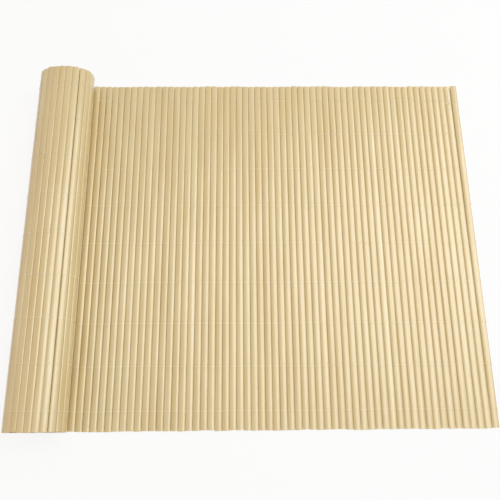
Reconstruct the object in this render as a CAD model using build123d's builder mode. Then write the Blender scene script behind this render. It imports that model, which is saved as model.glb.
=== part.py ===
"""Screening mat of hollow PVC slats, laced with thread, lying half unrolled.

The mat is one long row of identical double-faced slats. It runs flat along the floor from its
free end, at +X, to the roll at -X, and there it turns up and winds inward. The slats lie along Y.
"""
from build123d import *
import math
import os

os.makedirs("parts", exist_ok=True)

# The mat
mat_length = 3000.0
flat_length = 1048.0
slat_length = 900.0

# One slat: a flat tube with two bowed faces and blunt edges
slat_width = 16.2
slat_thickness = 3.2
slat_edge = 0.8
slat_gap = 0.6
wall = 0.8
edge_wall = 0.8

# The roll: half turns that grow outward, each sagging under its own weight into half an oval
core_radius = 14.8
crown_extra = 54.6
crown_sweep = 60.0
turn_clearance = 0.1

# The last slat at the free end stands off its neighbour at its far end
end_splay = 3.0

# The lacing: rows of thread over both faces of the mat
thread = 0.4
thread_rows = 9
row_inset = 44.0

# Sizes that follow from those above
slat_pitch = slat_width + slat_gap
slat_count = int(mat_length / slat_pitch)
layer_step = slat_thickness + 2 * thread + turn_clearance
radius_step = layer_step / 2
mid_height = thread + slat_thickness / 2
half_thickness = slat_thickness / 2
row_pitch = (slat_length - 2 * row_inset) / (thread_rows - 1)
row_places = [row_inset + row * row_pitch - slat_length / 2 for row in range(thread_rows)]


def half_turn_length(radius):
    """Length of the mat's line in a half turn whose side has this radius."""
    return math.pi * radius + math.radians(crown_sweep) * crown_extra


def half_turn_radii(wound_length):
    """Side radii of the mat's line in each half turn, outermost first, enough for wound_length."""
    radii = [core_radius]
    while sum(half_turn_length(radius) for radius in radii) < wound_length:
        radii.append(radii[-1] + radius_step)
    return radii[::-1]


# The slats are chords of the mat's line, so in the roll that line is a little longer than they are
radii = half_turn_radii(1.04 * (mat_length - flat_length))
side_middle = math.sqrt(radii[0] ** 2 - (slat_pitch / 2) ** 2)
roll_reach = side_middle + crown_extra * math.sin(math.radians(crown_sweep / 2)) + half_thickness
overall_length = roll_reach + flat_length + end_splay
tangent_x = roll_reach - overall_length / 2
free_x = tangent_x + flat_length


def roll_arcs():
    """Radius and sweep of each arc of the roll: half a base, a side and half a crown, turn by turn."""
    sweep = math.radians(crown_sweep)
    arcs = []
    for radius in radii:
        arcs.append((radius + crown_extra, sweep / 2))
        arcs.append((radius, math.pi - sweep))
        arcs.append((radius + crown_extra, sweep / 2))
    return arcs


def mat_point(distance):
    """X, Z and turn angle of the mat's line, at a distance along it from the free end."""
    along = max(distance - flat_length, 0.0)
    x, z, angle = free_x - min(distance, flat_length), mid_height, 0.0
    for radius, sweep in roll_arcs():
        turned = min(sweep, along / radius)
        x += radius * (math.sin(angle) - math.sin(angle + turned))
        z += radius * (math.cos(angle) - math.cos(angle + turned))
        angle += turned
        along -= radius * turned
        if turned < sweep:
            break
    return x, z, angle


def next_hinge(distance):
    """Where a slat ends that starts at this distance: its two laced edges are one pitch apart."""
    start_x, start_z, _ = mat_point(distance)
    end = distance + slat_pitch
    for _ in range(12):
        end_x, end_z, _ = mat_point(end)
        end += slat_pitch - math.hypot(end_x - start_x, end_z - start_z)
    return end


# Each slat's place, sorted into the flat run and the turns of the roll, outermost first
flat_places = []
turn_places = {}
hinge = slat_pitch
for slat in range(1, slat_count):
    start_x, start_z, start_angle = mat_point(hinge)
    hinge = next_hinge(hinge)
    end_x, end_z, end_angle = mat_point(hinge)
    tilt = math.degrees(math.atan2(end_z - start_z, start_x - end_x))
    place = Location(((start_x + end_x) / 2, (start_z + end_z) / 2, 0), (0, 0, -tilt))
    if end_angle == 0.0:
        flat_places.append(place)
    else:
        turn_places.setdefault(int((start_angle + end_angle) / (4 * math.pi)), []).append(place)

# The slat's section: bowed faces, blunt edges and a bore bowed the same way
with BuildSketch() as slat_section:
    half_width = slat_width / 2
    half_edge = slat_edge / 2
    with BuildLine():
        ThreePointArc((-half_width, half_edge), (0, half_thickness), (half_width, half_edge))
        Line((half_width, half_edge), (half_width, -half_edge))
        ThreePointArc((half_width, -half_edge), (0, -half_thickness), (-half_width, -half_edge))
        Line((-half_width, -half_edge), (-half_width, half_edge))
    make_face()
    bore_half_width = half_width - edge_wall
    bore_half_height = half_thickness - wall
    with BuildLine():
        ThreePointArc((-bore_half_width, 0), (0, bore_half_height), (bore_half_width, 0))
        ThreePointArc((bore_half_width, 0), (0, -bore_half_height), (-bore_half_width, 0))
    make_face(mode=Mode.SUBTRACT)

# The slats of the flat run
far_end = Plane.XZ.offset(-slat_length / 2)
with BuildPart() as flat_slats:
    with BuildSketch(far_end):
        with Locations(*flat_places):
            add(slat_section.sketch)
    extrude(amount=slat_length)
flat_slats.part.label = "flat_slats"
export_step(flat_slats.part, "parts/flat_slats.step")

# The last slat, splayed outward at its far end
splay = math.asin(end_splay / slat_length)
near_end = Plane(
    origin=(free_x - slat_pitch / 2, -slat_length / 2, mid_height),
    x_dir=(math.cos(splay), -math.sin(splay), 0),
    z_dir=(-math.sin(splay), -math.cos(splay), 0),
)
with BuildPart() as end_slat:
    with BuildSketch(near_end):
        add(slat_section.sketch)
    extrude(amount=-slat_length)
end_slat.part.label = "end_slat"
export_step(end_slat.part, "parts/end_slat.step")

# The slats of each turn of the roll, from the outside in
for turn, places in turn_places.items():
    with BuildPart() as roll_turn:
        with BuildSketch(far_end):
            with Locations(*places):
                add(slat_section.sketch)
        extrude(amount=slat_length)
    roll_turn.part.label = f"roll_turn_{turn + 1}"
    export_step(roll_turn.part, f"parts/roll_turn_{turn + 1}.step")

# The lacing of each row: a thread over the flat run and one under it, which the slats lie on
face_length = (len(flat_places) + 1) * slat_pitch
for row, row_y in enumerate(row_places, start=1):
    row_plane = Plane.XZ.offset(-row_y)

    with BuildPart() as face_thread:
        with BuildSketch(row_plane):
            with Locations((free_x - face_length / 2, mid_height + half_thickness + thread / 2)):
                Rectangle(face_length, thread)
        extrude(amount=thread / 2, both=True)
    face_thread.part.label = f"face_thread_{row}"
    export_step(face_thread.part, f"parts/face_thread_{row}.step")

    with BuildPart() as floor_thread:
        with BuildSketch(row_plane):
            with Locations((free_x - flat_length / 2, thread / 2)):
                Rectangle(flat_length, thread)
        extrude(amount=thread / 2, both=True)
    floor_thread.part.label = f"floor_thread_{row}"
    export_step(floor_thread.part, f"parts/floor_thread_{row}.step")
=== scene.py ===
"""Dresses the laced PVC slat mat: smooth hollow slats, twined lacing, stage and camera.

Laid out as an add-on and run as a script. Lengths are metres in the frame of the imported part: the
mat runs along X from its roll at -X to its free end at +X, the slats lie along Y, and Z is up.
"""
import math
import random

import bpy
from bpy.props import FloatProperty, FloatVectorProperty, IntProperty, PointerProperty
from mathutils import Matrix, Vector


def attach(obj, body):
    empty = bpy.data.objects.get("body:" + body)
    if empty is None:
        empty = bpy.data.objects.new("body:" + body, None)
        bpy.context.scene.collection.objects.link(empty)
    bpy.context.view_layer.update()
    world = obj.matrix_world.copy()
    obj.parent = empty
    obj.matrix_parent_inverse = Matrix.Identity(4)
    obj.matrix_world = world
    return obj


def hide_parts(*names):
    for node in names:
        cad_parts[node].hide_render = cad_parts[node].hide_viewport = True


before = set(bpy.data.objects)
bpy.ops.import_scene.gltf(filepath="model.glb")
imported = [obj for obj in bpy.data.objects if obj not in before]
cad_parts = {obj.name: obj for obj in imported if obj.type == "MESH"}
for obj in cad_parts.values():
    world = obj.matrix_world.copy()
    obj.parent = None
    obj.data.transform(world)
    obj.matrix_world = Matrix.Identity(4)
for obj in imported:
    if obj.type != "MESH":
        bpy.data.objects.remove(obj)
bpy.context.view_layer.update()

bl_info = {
    "name": "Laced slat mat",
    "version": (1, 0, 0),
    "blender": (4, 5, 0),
    "location": "View3D > Sidebar > Slat mat",
    "description": "Builds a half unrolled fence mat of hollow PVC slats laced with thread",
    "category": "Object",
}


def linear(colour):
    """Turns an sRGB hex colour such as "E3D0A0" into linear red, green, blue and alpha."""
    channels = [int(colour[place:place + 2], 16) / 255 for place in (0, 2, 4)]
    return [c / 12.92 if c <= 0.04045 else ((c + 0.055) / 1.055) ** 2.4 for c in channels] + [1.0]


class SlatMatSizes(bpy.types.PropertyGroup):
    """Sizes of the mat, its slats, its roll and its lacing."""

    mat_length: FloatProperty(
        name="Mat length", description="Length of the whole mat, rolled part included",
        default=3.0, unit="LENGTH",
    )
    flat_length: FloatProperty(
        name="Flat length", description="Length that lies unrolled on the floor", default=1.048, unit="LENGTH"
    )
    slat_length: FloatProperty(
        name="Slat length", description="Length of every slat", default=0.9, unit="LENGTH"
    )
    slat_width: FloatProperty(
        name="Slat width", description="Width of a slat across its face", default=0.0165, unit="LENGTH"
    )
    slat_thickness: FloatProperty(
        name="Slat thickness", description="Thickness of a slat's plain section",
        default=0.0032, unit="LENGTH",
    )
    slat_crown: FloatProperty(
        name="Slat crown", description="Rise of a slat's face above its edges", default=0.0026, unit="LENGTH"
    )
    slat_back: FloatProperty(
        name="Slat back", description="Depth of a slat's flatter back below its edges",
        default=0.0014, unit="LENGTH",
    )
    wall: FloatProperty(
        name="Wall", description="Thickness of a slat's wall", default=0.0008, unit="LENGTH"
    )
    slat_gap: FloatProperty(
        name="Gap", description="Gap between neighbouring slats", default=0.0003, unit="LENGTH"
    )
    end_splay: FloatProperty(
        name="End splay", description="How far the last slat's far end stands off",
        default=0.003, unit="LENGTH",
    )
    core_radius: FloatProperty(
        name="Core radius", description="Side radius of the innermost half turn",
        default=0.0148, unit="LENGTH",
    )
    crown_extra: FloatProperty(
        name="Crown extra", description="How much more radius the crown and base have than the sides",
        default=0.0546, unit="LENGTH",
    )
    crown_sweep: FloatProperty(
        name="Crown sweep", description="Angle that the crown of the roll takes up",
        default=math.radians(60), subtype="ANGLE",
    )
    turn_clearance: FloatProperty(
        name="Turn clearance", description="Air between the laced turns of the roll",
        default=0.0001, unit="LENGTH",
    )
    thread: FloatProperty(
        name="Thread", description="Room that one strand takes up between turns of the roll",
        default=0.0004, unit="LENGTH",
    )
    strand: FloatProperty(
        name="Strand", description="Diameter of one lacing strand", default=0.0007, unit="LENGTH"
    )
    thread_rows: IntProperty(
        name="Lacing rows", description="Number of rows of lacing along the slats", default=9, min=2
    )
    row_inset: FloatProperty(
        name="Row inset", description="From a slat's end to the first row of lacing",
        default=0.044, unit="LENGTH",
    )


class SlatMatColours(bpy.types.PropertyGroup):
    """Colours of the slats, the thread and the floor."""

    slat_pale: FloatVectorProperty(
        name="Slat, pale", description="Pale tone of the slats",
        subtype="COLOR", size=4, default=linear("E7D6A5"),
    )
    slat_deep: FloatVectorProperty(
        name="Slat, deep", description="Deep tone of the slats",
        subtype="COLOR", size=4, default=linear("D2B678"),
    )
    thread_pale: FloatVectorProperty(
        name="Thread, pale", description="Pale tone of the thread",
        subtype="COLOR", size=4, default=linear("FAF2DC"),
    )
    thread_deep: FloatVectorProperty(
        name="Thread, deep", description="Tone between its fibres",
        subtype="COLOR", size=4, default=linear("E9DCBA"),
    )
    floor: FloatVectorProperty(
        name="Floor", description="Colour of the studio floor",
        subtype="COLOR", size=4, default=linear("F4F3F1"),
    )


class MatLine:
    """The line that the mat's middle follows: flat from the free end, then round and round into the roll."""

    def __init__(self, sizes):
        self.pitch = sizes.slat_width + sizes.slat_gap
        self.flat_length = sizes.flat_length
        self.middle_z = sizes.thread + sizes.slat_thickness / 2
        radius_step = (sizes.slat_thickness + 2 * sizes.thread + sizes.turn_clearance) / 2
        # The slats are chords of the line, so in the roll it is a little longer than they are
        chord_allowance = 1.04
        wound = chord_allowance * (sizes.mat_length - sizes.flat_length)
        radii = [sizes.core_radius]
        while math.pi * sum(radii) + sizes.crown_sweep * sizes.crown_extra * len(radii) < wound:
            radii.append(radii[-1] + radius_step)
        half = sizes.crown_sweep / 2
        self.arcs = []
        for radius in radii[::-1]:
            crown = radius + sizes.crown_extra
            self.arcs += [(crown, half), (radius, math.pi - 2 * half), (crown, half)]
        side_middle = math.sqrt(radii[-1] ** 2 - (self.pitch / 2) ** 2)
        reach = side_middle + sizes.crown_extra * math.sin(half) + sizes.slat_thickness / 2
        self.free_x = (sizes.flat_length - sizes.end_splay + reach) / 2

    def point(self, distance):
        """X, Z and turn angle of the line, at a distance along it from the free end."""
        along = max(distance - self.flat_length, 0.0)
        x, z, turned = self.free_x - min(distance, self.flat_length), self.middle_z, 0.0
        for radius, sweep in self.arcs:
            part = min(sweep, along / radius)
            x += radius * (math.sin(turned) - math.sin(turned + part))
            z += radius * (math.cos(turned) - math.cos(turned + part))
            turned += part
            along -= radius * part
            if part < sweep:
                break
        return x, z, turned

    def next_hinge(self, distance):
        """Where a slat ends that starts at this distance: its laced edges are one pitch apart."""
        start_x, start_z, _ = self.point(distance)
        end = distance + self.pitch
        for _ in range(12):
            end_x, end_z, _ = self.point(end)
            end += self.pitch - math.hypot(end_x - start_x, end_z - start_z)
        return end


def crown_side(line, hinge, turned):
    """Which side of a slat is crowned: 1 its face, -1 its back, 0 neither.

    The face is crowned on the flat run as far as the roll's overhang, and the back on the outside of
    the roll. Slats that lie between two turns keep their plain section.
    """
    overhang = 0.055
    first_bare, last_bare = math.radians(24), math.radians(318)
    if hinge < line.flat_length - overhang:
        return 1
    return -1 if first_bare < turned < last_bare else 0


def within(limit, value):
    """The value, held to a limit either way."""
    return max(-limit, min(limit, value))


def slat_stations(sizes):
    """Where each slat lies, from the free end to the core, with the small unevenness of laced slats."""
    lean_spread, most_lean = math.radians(1.1), math.radians(2.2)
    slip_spread, most_slip = 0.0006, 0.0011
    most_skew = math.radians(0.012)
    line = MatLine(sizes)
    uneven = random.Random(41)
    stations = []
    hinge = 0.0
    for _ in range(int(sizes.mat_length / line.pitch)):
        start_x, start_z, start_turn = line.point(hinge)
        hinge = line.next_hinge(hinge)
        end_x, end_z, end_turn = line.point(hinge)
        flat = end_turn == 0
        tilt = math.atan2(end_z - start_z, start_x - end_x)
        stations.append({
            "x": (start_x + end_x) / 2,
            "z": (start_z + end_z) / 2,
            "turned": tilt + within(most_lean, uneven.gauss(0, lean_spread)),
            "skew": uneven.uniform(-most_skew, most_skew) if flat else 0.0,
            "slip": within(most_slip, uneven.gauss(0, slip_spread)),
            "tone": uneven.random(),
            "turn": 0 if flat else 1 + int((start_turn + end_turn) / (4 * math.pi)),
            "crown": crown_side(line, hinge, (start_turn + end_turn) / 2),
            "swept": start_turn,
        })
    # One gap on the crown of the roll stands open, and the slats beside it close up
    open_place, open_width = math.radians(206), 0.001
    opened = min(range(len(stations)), key=lambda n: abs(stations[n]["swept"] - open_place))
    for number, share in ((-3, -0.1), (-2, -0.3), (-1, -0.5), (0, 0.5), (1, 0.3), (2, 0.1)):
        station = stations[opened + number]
        station["x"] -= share * open_width * math.cos(station["turned"])
        station["z"] += share * open_width * math.sin(station["turned"])
    # The lacing draws the last slat most of the way back to its neighbour and tips it up a little
    splay_left, tip, lift = 0.4, math.radians(-5), 0.0004
    splay = math.asin(splay_left * sizes.end_splay / sizes.slat_length)
    last = stations[0]
    last.update(skew=-splay, slip=most_slip, turned=tip)
    last["x"] += sizes.slat_length / 2 * math.sin(splay)
    last["z"] += lift
    return stations


def add_node(tree, kind, sockets=None, **settings):
    """Adds a shader node, sets its properties, and fills or links its input sockets."""
    node = tree.nodes.new(kind)
    for name, value in settings.items():
        setattr(node, name, value)
    for name, value in (sockets or {}).items():
        if isinstance(value, bpy.types.NodeSocket):
            tree.links.new(value, node.inputs[name])
        else:
            node.inputs[name].default_value = value
    return node


def new_material(name):
    """Makes an empty node material and returns it with its tree."""
    material = bpy.data.materials.new(name)
    material.use_nodes = True
    material.node_tree.nodes.clear()
    return material, material.node_tree


def white_rays(tree):
    """Share of the rays that see a white surround: the camera's, mirrored ones and ones through glass."""
    ray = add_node(tree, "ShaderNodeLightPath").outputs
    share = ray["Is Camera Ray"]
    for kind in ("Is Glossy Ray", "Is Transmission Ray"):
        share = add_node(tree, "ShaderNodeMath", {0: share, 1: ray[kind]}, operation="MAXIMUM").outputs[0]
    return share


def extruded_pvc(colours):
    """Extruded PVC, bamboo-coloured: satin skin, die lines along the slat, tones that differ by slat."""
    if "extruded_pvc" in bpy.data.materials:
        return bpy.data.materials["extruded_pvc"]
    material, tree = new_material("extruded_pvc")
    place = add_node(tree, "ShaderNodeTexCoord").outputs["Object"]
    # Die lines: 1.2 mm apart across the slat and a quarter of a metre long
    lines_at = add_node(
        tree, "ShaderNodeMapping", {"Vector": place, "Scale": (830, 4, 830)}
    ).outputs["Vector"]
    lines = add_node(
        tree, "ShaderNodeTexNoise", {"Vector": lines_at, "Scale": 1.0, "Detail": 3.0}
    ).outputs["Fac"]
    # Cloudy pigment: patches about 200 mm long and a slat wide
    cloud_at = add_node(
        tree, "ShaderNodeMapping", {"Vector": place, "Scale": (50, 5, 50)}
    ).outputs["Vector"]
    cloud = add_node(
        tree, "ShaderNodeTexNoise", {"Vector": cloud_at, "Scale": 1.0, "Detail": 2.0}
    ).outputs["Fac"]
    tone = add_node(tree, "ShaderNodeAttribute", attribute_name="slat_tone").outputs["Fac"]
    marks = add_node(tree, "ShaderNodeMath", {0: lines, 1: cloud}, operation="ADD").outputs[0]
    deep = add_node(
        tree, "ShaderNodeMath", {0: tone, 1: 0.3, 2: marks}, operation="MULTIPLY_ADD"
    ).outputs[0]
    share = add_node(
        tree, "ShaderNodeMapRange",
        {"Value": deep, "From Min": 0.6, "From Max": 1.7, "To Min": 0.0, "To Max": 1.0},
    ).outputs["Result"]
    colour = add_node(
        tree, "ShaderNodeMix",
        {"Factor": share, 6: colours.slat_pale, 7: colours.slat_deep}, data_type="RGBA",
    ).outputs[2]
    rough = add_node(
        tree, "ShaderNodeMapRange",
        {"Value": lines, "From Min": 0.3, "From Max": 0.7, "To Min": 0.3, "To Max": 0.44},
    ).outputs["Result"]
    bump = add_node(
        tree, "ShaderNodeBump", {"Height": lines, "Strength": 0.25, "Distance": 0.00008}
    ).outputs["Normal"]
    skin = add_node(
        tree, "ShaderNodeBsdfPrincipled",
        {
            "Base Color": colour, "Roughness": rough, "Normal": bump, "IOR": 1.53,
            "Coat Weight": 1.0, "Coat Roughness": 0.18, "Coat IOR": 1.53,
        },
    )
    add_node(tree, "ShaderNodeOutputMaterial", {"Surface": skin.outputs["BSDF"]})
    return material


def twisted_nylon(colours):
    """Pale nylon thread: soft sheen, light through the strand, fibres twisted half a millimetre apart."""
    material, tree = new_material("twisted_nylon")
    place = add_node(tree, "ShaderNodeTexCoord").outputs["Object"]
    fibres = add_node(
        tree, "ShaderNodeTexNoise", {"Vector": place, "Scale": 2200.0, "Detail": 2.0}
    ).outputs["Fac"]
    colour = add_node(
        tree, "ShaderNodeMix",
        {"Factor": fibres, 6: colours.thread_deep, 7: colours.thread_pale}, data_type="RGBA",
    ).outputs[2]
    bump = add_node(
        tree, "ShaderNodeBump", {"Height": fibres, "Strength": 0.3, "Distance": 0.0001}
    ).outputs["Normal"]
    skin = add_node(
        tree, "ShaderNodeBsdfPrincipled",
        {
            "Base Color": colour, "Roughness": 0.45, "Normal": bump, "IOR": 1.53, "Sheen Weight": 0.3,
            "Subsurface Weight": 0.6, "Subsurface Radius": (1, 1, 1), "Subsurface Scale": 0.0006,
        },
    )
    add_node(tree, "ShaderNodeOutputMaterial", {"Surface": skin.outputs["BSDF"]})
    return material


def studio_paper(colours):
    """Pale matt paper that the camera sees as white, with the object's soft shadow on it."""
    material, tree = new_material("studio_paper")
    place = add_node(tree, "ShaderNodeTexCoord").outputs["Object"]
    grain = add_node(tree, "ShaderNodeTexNoise", {"Vector": place, "Scale": 900.0}).outputs["Fac"]
    bump = add_node(
        tree, "ShaderNodeBump", {"Height": grain, "Strength": 0.1, "Distance": 0.0002}
    ).outputs["Normal"]
    paper = add_node(
        tree, "ShaderNodeBsdfPrincipled",
        {"Base Color": colours.floor, "Roughness": 0.9, "Normal": bump, "Specular IOR Level": 0.1},
    ).outputs["BSDF"]
    glow = add_node(
        tree, "ShaderNodeEmission", {"Color": (1, 1, 1, 1), "Strength": 1.0}
    ).outputs["Emission"]
    # Under the flat run the paper doesn't glow, so the gaps between the slats stay dark. The run's
    # middle and half its length are given in X, then its middle and half its width in Y
    sides = add_node(tree, "ShaderNodeSeparateXYZ", {"Vector": place}).outputs
    beyond = []
    for side, middle, reach in ((sides["X"], 0.036, 0.516), (sides["Y"], 0.0, 0.446)):
        away = add_node(tree, "ShaderNodeMath", {0: side, 1: middle}, operation="SUBTRACT").outputs[0]
        away = add_node(tree, "ShaderNodeMath", {0: away}, operation="ABSOLUTE").outputs[0]
        past = add_node(tree, "ShaderNodeMath", {0: away, 1: reach}, operation="GREATER_THAN").outputs[0]
        beyond.append(past)
    bare = add_node(tree, "ShaderNodeMath", {0: beyond[0], 1: beyond[1]}, operation="MAXIMUM").outputs[0]
    seen = add_node(
        tree, "ShaderNodeMath", {0: white_rays(tree), 1: bare}, operation="MULTIPLY"
    ).outputs[0]
    # The rest of what is seen is lit paper, which keeps the shadow
    glow_share = 0.88
    share = add_node(tree, "ShaderNodeMath", {0: seen, 1: glow_share}, operation="MULTIPLY").outputs[0]
    mixed = add_node(tree, "ShaderNodeMixShader", {0: share, 1: paper, 2: glow}).outputs["Shader"]
    add_node(tree, "ShaderNodeOutputMaterial", {"Surface": mixed})
    return material


def half_depths(sizes, crown):
    """How far a slat reaches above and below its edges, by the side that is crowned."""
    return {
        1: (sizes.slat_crown, sizes.slat_back),
        0: (sizes.slat_thickness / 2, sizes.slat_thickness / 2),
        -1: (sizes.slat_back, sizes.slat_crown),
    }[crown]


def select_rows(piece, wanted):
    """Selects, in edit mode, only the vertices whose place passes the test."""
    bpy.ops.mesh.select_all(action="DESELECT")
    bpy.ops.object.mode_set(mode="OBJECT")
    for vertex in piece.data.vertices:
        vertex.select = wanted(vertex.co)
    bpy.ops.object.mode_set(mode="EDIT")
    bpy.ops.mesh.select_mode(type="VERT")


def model_slat(sizes, crown):
    """Models one hollow slat along Y: an oval ring drawn to length, turned in, and drawn back as a bore."""
    corners = 16
    length = sizes.slat_length
    upper, lower = half_depths(sizes, crown)
    bpy.ops.object.select_all(action="DESELECT")
    bpy.ops.mesh.primitive_circle_add(
        vertices=corners, radius=sizes.slat_width / 2, fill_type="NOTHING",
        location=(0, -length / 2, 0), rotation=(math.pi / 2, 0, 0),
    )
    slat = bpy.context.object
    bpy.ops.object.transform_apply(location=True, rotation=True, scale=False)
    bpy.ops.object.mode_set(mode="EDIT")
    bpy.ops.mesh.select_all(action="SELECT")
    bpy.ops.transform.resize(value=(1, 1, 2 * lower / sizes.slat_width))
    select_rows(slat, lambda place: place.z > 0)
    bpy.ops.transform.resize(value=(1, 1, upper / lower), center_override=(0, -length / 2, 0))
    bpy.ops.mesh.select_all(action="SELECT")
    bpy.ops.mesh.extrude_edges_move(TRANSFORM_OT_translate={"value": (0, length, 0)})
    bore_width = 1 - 2 * sizes.wall / sizes.slat_width
    bore_height = 1 - 2 * sizes.wall / (upper + lower)
    bpy.ops.mesh.extrude_edges_move(TRANSFORM_OT_translate={"value": (0, 0, 0)})
    bpy.ops.transform.resize(
        value=(bore_width, 1, bore_height), center_override=(0, length / 2, (upper - lower) / 2)
    )
    bpy.ops.mesh.extrude_edges_move(TRANSFORM_OT_translate={"value": (0, -length, 0)})
    select_rows(slat, lambda place: place.y < 0)
    bpy.ops.mesh.bridge_edge_loops()
    bpy.ops.mesh.select_all(action="SELECT")
    bpy.ops.mesh.normals_make_consistent(inside=False)
    bpy.ops.object.mode_set(mode="OBJECT")
    bpy.ops.object.shade_smooth_by_angle(angle=math.radians(50))
    if len(slat.data.polygons) != 4 * corners:
        raise RuntimeError(f"the slat came out with {len(slat.data.polygons)} faces")
    return slat


def lay_slats(context, name, stations):
    """Copies a slat to every station, joins the copies into one piece and gives it its finish."""
    settings = context.scene.slat_mat_sizes
    patterns = {crown: model_slat(settings, crown) for crown in {s["crown"] for s in stations}}
    copies = []
    for station in stations:
        pattern = patterns[station["crown"]]
        bpy.ops.object.select_all(action="DESELECT")
        pattern.select_set(True)
        context.view_layer.objects.active = pattern
        bpy.ops.object.duplicate(linked=False)
        copy = context.object
        copy.location = (station["x"], station["slip"], station["z"])
        copy.rotation_euler = (0, station["turned"], station["skew"])
        tone = copy.data.attributes.new("slat_tone", "FLOAT", "POINT")
        tone.data.foreach_set("value", [station["tone"]] * len(copy.data.vertices))
        copies.append(copy)
    bpy.ops.object.select_all(action="DESELECT")
    for pattern in patterns.values():
        pattern.select_set(True)
    bpy.ops.object.delete()
    for copy in copies:
        copy.select_set(True)
    context.view_layer.objects.active = copies[0]
    bpy.ops.object.transform_apply(location=True, rotation=True, scale=True)
    if len(copies) > 1:
        bpy.ops.object.join()
    piece = context.object
    piece.name = "dressed_" + name
    piece.data.name = piece.name
    piece.data.materials.clear()
    piece.data.materials.append(extruded_pvc(context.scene.slat_mat_colours))
    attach(piece, "root")
    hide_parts(name)
    return piece


def across(station, u, w):
    """Place in X and Z of a point u across and w above the middle of a slat."""
    sine, cosine = math.sin(station["turned"]), math.cos(station["turned"])
    return station["x"] + u * cosine + w * sine, station["z"] - u * sine + w * cosine


def strand_path(sizes, stations, places, over_first):
    """Points of one strand, over one slat and under the next, crossing its twin in every gap."""
    half_width = sizes.slat_width / 2
    radius = sizes.strand / 2
    step_aside = 0.0004
    # Degrees round a slat's section, from one laced edge to the other
    bends = (24, 58, 90, 122, 156)
    side = 1 if over_first else -1
    x, z = across(stations[0], half_width + radius, 0)
    points = [(x, places[0] - side * step_aside, z)]
    for number, station in enumerate(stations):
        half_thickness = half_depths(sizes, station["crown"])[0 if side > 0 else 1]
        for bend in bends:
            u = half_width * math.cos(math.radians(bend))
            w = half_thickness * math.sin(math.radians(bend))
            normal = math.hypot(u / half_width ** 2, w / half_thickness ** 2)
            u += radius * u / half_width ** 2 / normal
            w += radius * w / half_thickness ** 2 / normal
            x, z = across(station, u, side * w)
            slant = -side * step_aside * math.cos(math.radians(bend))
            points.append((x, places[number] + slant, max(z, radius)))
        ends = [across(station, -half_width - radius, 0)]
        if number + 1 < len(stations):
            ends = [across(station, -half_width, 0), across(stations[number + 1], half_width, 0)]
        x = sum(end[0] for end in ends) / len(ends)
        z = sum(end[1] for end in ends) / len(ends)
        points.append((x, places[number] + side * step_aside, z))
        side = -side
    return points


def row_drift(uneven, count):
    """How far a row of lacing wanders along the slats, slat by slat."""
    sway = uneven.uniform(0.0003, 0.0009)
    start = uneven.uniform(0, 6)
    return [
        sway * math.sin(start + number * 0.13) + sway * 0.6 * math.sin(2 * start + number * 0.41)
        for number in range(count)
    ]


def overhand_knot(size, middle):
    """Points of a small closed overhand knot round a middle point."""
    steps = 36
    points = []
    for step in range(steps):
        t = 2 * math.pi * step / steps
        x = math.sin(t) + 2 * math.sin(2 * t)
        z = math.cos(t) - 2 * math.cos(2 * t)
        points.append(Vector(middle) + Vector((x, math.sin(3 * t), z)) * size / 3)
    return points


def binding_turns(sizes, station, start_y, girth):
    """Points of a strand end of this girth, wound round and round one slat, turn beside turn."""
    turns, steps = 4, 14
    half_width = sizes.slat_width / 2 + sizes.strand * 0.3
    spacing = sizes.strand * 1.6
    lowest = girth * sizes.strand / 2
    points = []
    for step in range(turns * steps + 1):
        t = 2 * math.pi * step / steps
        depth = half_depths(sizes, station["crown"])[0 if math.sin(t) > 0 else 1]
        x, z = across(station, half_width * math.cos(t), (depth + sizes.strand * 0.6) * math.sin(t))
        points.append((x, start_y + spacing * step / steps, max(z, lowest)))
    return points


def thread_from(context, name, runs):
    """Turns point lists into one piece of thread with a real thickness."""
    curve = bpy.data.curves.new(name, "CURVE")
    curve.dimensions = "3D"
    curve.bevel_depth = context.scene.slat_mat_sizes.strand / 2
    curve.bevel_resolution = 0
    curve.use_fill_caps = True
    for points, closed, girth in runs:
        spline = curve.splines.new("POLY")
        spline.points.add(len(points) - 1)
        for point, place in zip(spline.points, points):
            point.co = (*place, 1)
            point.radius = girth
        spline.use_cyclic_u = closed
    piece = bpy.data.objects.new(name, curve)
    context.collection.objects.link(piece)
    bpy.ops.object.select_all(action="DESELECT")
    piece.select_set(True)
    context.view_layer.objects.active = piece
    bpy.ops.object.convert(target="MESH")
    bpy.ops.object.shade_smooth_by_angle(angle=math.radians(100))
    return context.object


class SLATMAT_OT_flat_run(bpy.types.Operator):
    """Lays the slats of the unrolled part side by side on the floor."""

    bl_idname = "slatmat.flat_run"
    bl_label = "Lay the flat run"

    def execute(self, context):
        stations = slat_stations(context.scene.slat_mat_sizes)
        lay_slats(context, "flat_slats", [s for s in stations[1:] if s["turn"] == 0])
        return {"FINISHED"}


class SLATMAT_OT_end_slat(bpy.types.Operator):
    """Lays the last slat at the free end, standing a little apart at its far end."""

    bl_idname = "slatmat.end_slat"
    bl_label = "Lay the end slat"

    def execute(self, context):
        lay_slats(context, "end_slat", slat_stations(context.scene.slat_mat_sizes)[:1])
        return {"FINISHED"}


class SLATMAT_OT_roll(bpy.types.Operator):
    """Winds the rest of the slats into the sagging roll, one piece for each turn."""

    bl_idname = "slatmat.roll"
    bl_label = "Wind the roll"

    def execute(self, context):
        stations = slat_stations(context.scene.slat_mat_sizes)
        for turn in range(1, stations[-1]["turn"] + 1):
            lay_slats(context, f"roll_turn_{turn}", [s for s in stations if s["turn"] == turn])
        return {"FINISHED"}


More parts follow.
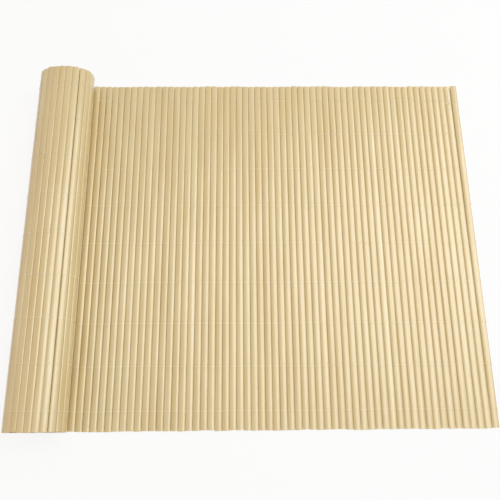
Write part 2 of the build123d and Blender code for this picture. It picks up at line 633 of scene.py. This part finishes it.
class SLATMAT_OT_lacing(bpy.types.Operator):
    """Laces every row with two strands twined between the slats, knotted at both ends."""

    bl_idname = "slatmat.lacing"
    bl_label = "Lace the rows"

    def execute(self, context):
        sizes = context.scene.slat_mat_sizes
        stations = slat_stations(sizes)
        nylon = twisted_nylon(context.scene.slat_mat_colours)
        row_pitch = (sizes.slat_length - 2 * sizes.row_inset) / (sizes.thread_rows - 1)
        knot_size = 0.0011
        binding_away, binding_girth = 0.0106, 1.7
        uneven = random.Random(7)
        for row in range(sizes.thread_rows):
            row_y = row * row_pitch + sizes.row_inset - sizes.slat_length / 2
            places = [row_y + drift for drift in row_drift(uneven, len(stations))]
            runs = [(strand_path(sizes, stations, places, over), False, 1) for over in (True, False)]
            for number, side in ((0, 1), (len(stations) - 1, -1)):
                x, z = across(stations[number], side * (sizes.slat_width / 2 + sizes.strand), 0)
                runs.append((overhand_knot(knot_size, (x, places[number], z)), True, 1))
            # The far row's spare end is bound round the second slat
            if row == sizes.thread_rows - 1:
                binding = binding_turns(sizes, stations[1], row_y - binding_away, binding_girth)
                runs.append((binding, False, binding_girth))
            piece = thread_from(context, f"lacing_{row + 1}", runs)
            piece.data.materials.append(nylon)
            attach(piece, "root")
            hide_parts(f"face_thread_{row + 1}", f"floor_thread_{row + 1}")
        return {"FINISHED"}


class SLATMAT_OT_stage(bpy.types.Operator):
    """Sets the pale floor, the soft light and the camera."""

    bl_idname = "slatmat.stage"
    bl_label = "Set the stage"

    def execute(self, context):
        scene = context.scene
        bpy.ops.object.select_all(action="DESELECT")
        floor_size, floor_drop = 12, 0.0005
        bpy.ops.mesh.primitive_plane_add(size=floor_size, location=(0, 0, -floor_drop))
        floor = context.object
        bpy.ops.object.transform_apply(location=True, rotation=False, scale=False)
        floor.name = "studio_floor"
        floor.data.materials.append(studio_paper(scene.slat_mat_colours))

        # A broad soft box leans over the right side, where the slats' right shoulders mirror it,
        # and a low warm fill lightens the shaded flank of the roll without being mirrored
        for name, place, aim, size, power, colour, mirrored in (
            ("soft_box", (1.6, 0.65, 2.9), (0.2, 0, 0), (2.4, 3.4), 86, (1.0, 1.0, 1.0), True),
            ("warm_fill", (-2.2, -0.3, 0.9), (-0.5, 0, 0.05), (2.0, 1.6), 8, (1.0, 0.55, 0.15), False),
        ):
            bpy.ops.object.light_add(type="AREA", location=place)
            lamp = context.object
            lamp.name = name
            lamp.data.shape = "RECTANGLE"
            lamp.data.size, lamp.data.size_y = size
            lamp.data.energy = power
            lamp.data.color = colour
            lamp.visible_glossy = mirrored
            lamp.rotation_euler = (Vector(aim) - lamp.location).to_track_quat("-Z", "Y").to_euler()

        world = bpy.data.worlds.new("studio_sky")
        scene.world = world
        world.use_nodes = True
        tree = world.node_tree
        tree.nodes.clear()
        # The sky lights the mat as a dim even fill, and is seen as white
        plain = (1, 1, 1, 1)
        fill, full = 0.32, 1.0
        sky = add_node(tree, "ShaderNodeBackground", {"Color": plain, "Strength": fill}).outputs[0]
        white = add_node(tree, "ShaderNodeBackground", {"Color": plain, "Strength": full}).outputs[0]
        mixed = add_node(tree, "ShaderNodeMixShader", {0: white_rays(tree), 1: sky, 2: white}).outputs[0]
        add_node(tree, "ShaderNodeOutputWorld", {"Surface": mixed})

        # The camera stands over the near edge and looks steeply down
        bpy.ops.object.camera_add()
        camera = context.object
        camera.name = "photo_view"
        camera.data.sensor_width = 36
        camera.data.lens = 41.95
        camera.data.clip_end = 50
        eye = Vector((-0.03276, -0.45005, 1.39708))
        right = Vector((0.999897, -0.008817, 0.011358))
        up = Vector((0.005062, 0.955198, 0.295923))
        turned = Matrix((right, up, right.cross(up))).transposed().to_4x4()
        camera.matrix_world = Matrix.Translation(eye) @ turned
        scene.camera = camera
        scene.view_settings.view_transform = "Standard"
        return {"FINISHED"}


class SLATMAT_PT_sidebar(bpy.types.Panel):
    """Lists the mat's sizes, colours and build steps."""

    bl_idname = "SLATMAT_PT_sidebar"
    bl_label = "Slat mat"
    bl_space_type = "VIEW_3D"
    bl_region_type = "UI"
    bl_category = "Slat mat"

    def draw(self, context):
        for settings in (context.scene.slat_mat_sizes, context.scene.slat_mat_colours):
            for name in type(settings).__annotations__:
                self.layout.prop(settings, name)
        for step in STEPS:
            self.layout.operator(step.bl_idname)


STEPS = (SLATMAT_OT_flat_run, SLATMAT_OT_end_slat, SLATMAT_OT_roll, SLATMAT_OT_lacing, SLATMAT_OT_stage)
CLASSES = (SlatMatSizes, SlatMatColours, *STEPS, SLATMAT_PT_sidebar)


def register():
    """Adds the classes and hangs the settings on the scene."""
    for each in CLASSES:
        bpy.utils.register_class(each)
    bpy.types.Scene.slat_mat_sizes = PointerProperty(type=SlatMatSizes)
    bpy.types.Scene.slat_mat_colours = PointerProperty(type=SlatMatColours)


def unregister():
    """Takes the settings and the classes away again."""
    del bpy.types.Scene.slat_mat_colours
    del bpy.types.Scene.slat_mat_sizes
    for each in reversed(CLASSES):
        bpy.utils.unregister_class(each)


def main():
    """Builds the mat step by step."""
    register()
    bpy.ops.slatmat.flat_run()
    bpy.ops.slatmat.end_slat()
    bpy.ops.slatmat.roll()
    bpy.ops.slatmat.lacing()
    bpy.ops.slatmat.stage()


if __name__ == "__main__":
    main()
